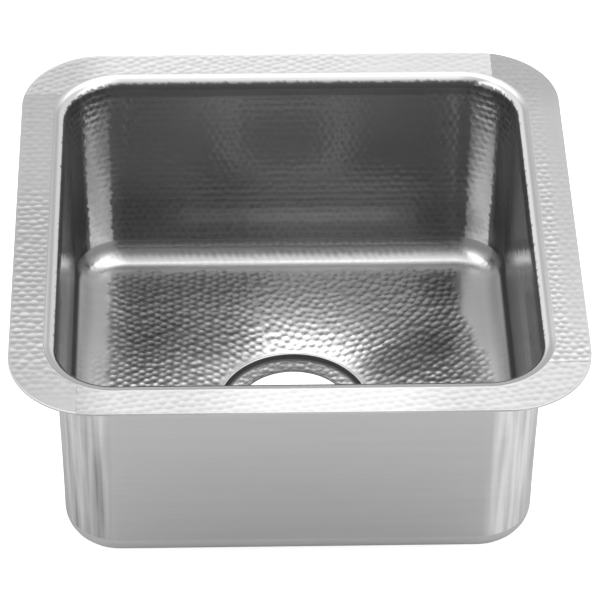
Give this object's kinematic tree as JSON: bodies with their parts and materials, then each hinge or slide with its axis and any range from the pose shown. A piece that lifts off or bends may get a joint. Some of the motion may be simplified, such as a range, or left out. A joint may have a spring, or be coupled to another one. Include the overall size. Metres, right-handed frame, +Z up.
{
  "type": "square bar sink",
  "caption": "Square steel bar sink with a flat rim, a rolled bowl edge, coved corners, a dished floor and a stepped drain seat.",
  "frame": {"origin": "centre of the sink on the plane of its lowest face, the underside of the drain seat", "axes": "+Z up out of the bowl, +X to the right, +Y to the back, -Y the side that the picture shows from outside"},
  "size_m": [0.419, 0.419, 0.1908],
  "materials": {
    "bowl_steel": "hammered inside, brushed outside",
    "seat_steel": "hammered satin",
    "rim_steel": "hammered satin",
    "pad_rubber": "matt"
  },
  "bodies": {
    "root": {"wall_band": "bowl_steel", "floor_pan": "bowl_steel", "drain_seat": "seat_steel", "rim_back": "rim_steel", "rim_right": "rim_steel", "rim_front": "rim_steel", "rim_left": "rim_steel", "pad_back_right": "pad_rubber", "pad_back_left": "pad_rubber", "pad_front_left": "pad_rubber", "pad_front_right": "pad_rubber"}
  },
  "joints": []
}
